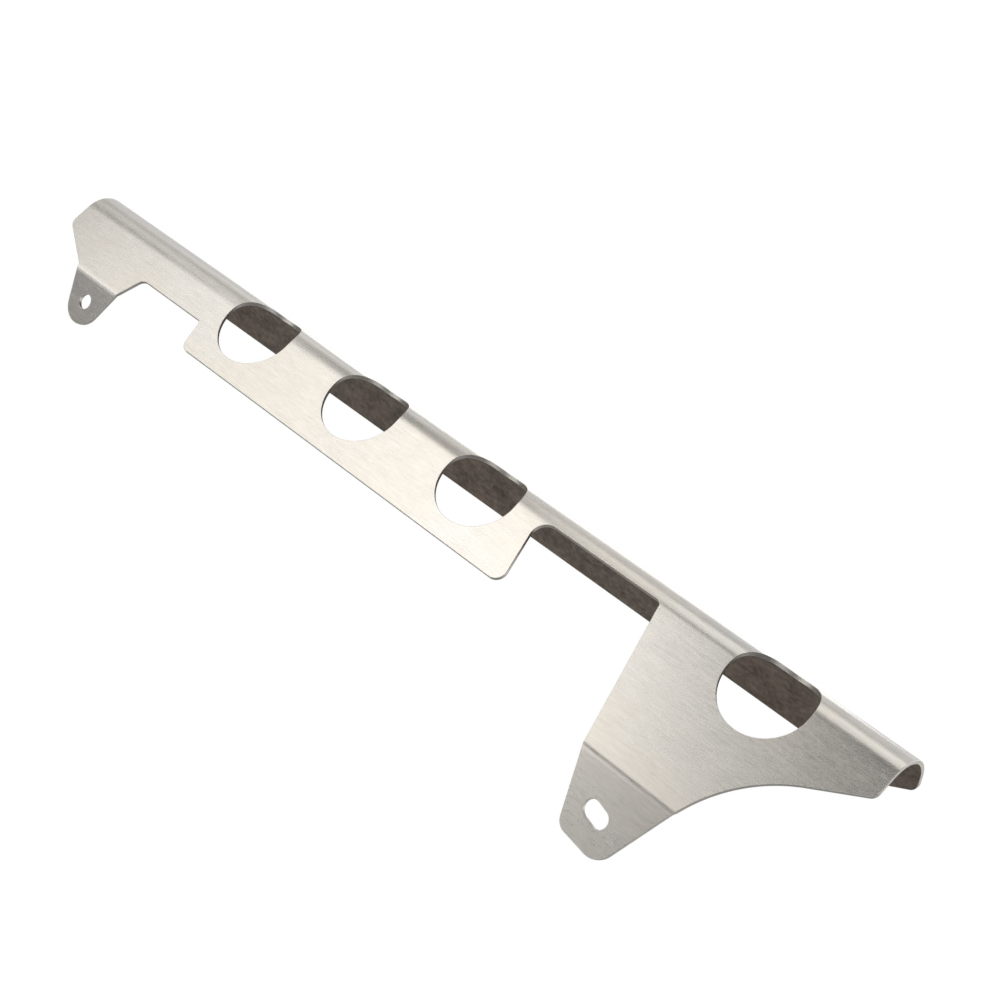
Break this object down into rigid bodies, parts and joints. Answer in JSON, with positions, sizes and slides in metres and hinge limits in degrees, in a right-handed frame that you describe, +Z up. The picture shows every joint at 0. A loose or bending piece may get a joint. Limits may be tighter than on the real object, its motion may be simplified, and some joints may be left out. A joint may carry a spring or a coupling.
{
  "type": "motorcycle chain guard",
  "caption": "Folded sheet steel chain guard with a rolled top, round lightening holes and two folded fixing lugs.",
  "frame": {"origin": "centre of the front lug's bolt hole, on the lug's outer face", "axes": "+X back along the guard towards its rear end, +Y inboard towards the wheel, +Z up; both lugs stand upright in XZ"},
  "size_m": [0.4371, 0.0524, 0.0829],
  "materials": {
    "brushed_sheet": "brushed along the length"
  },
  "bodies": {
    "root": {"chain_guard": "brushed_sheet"}
  },
  "joints": []
}
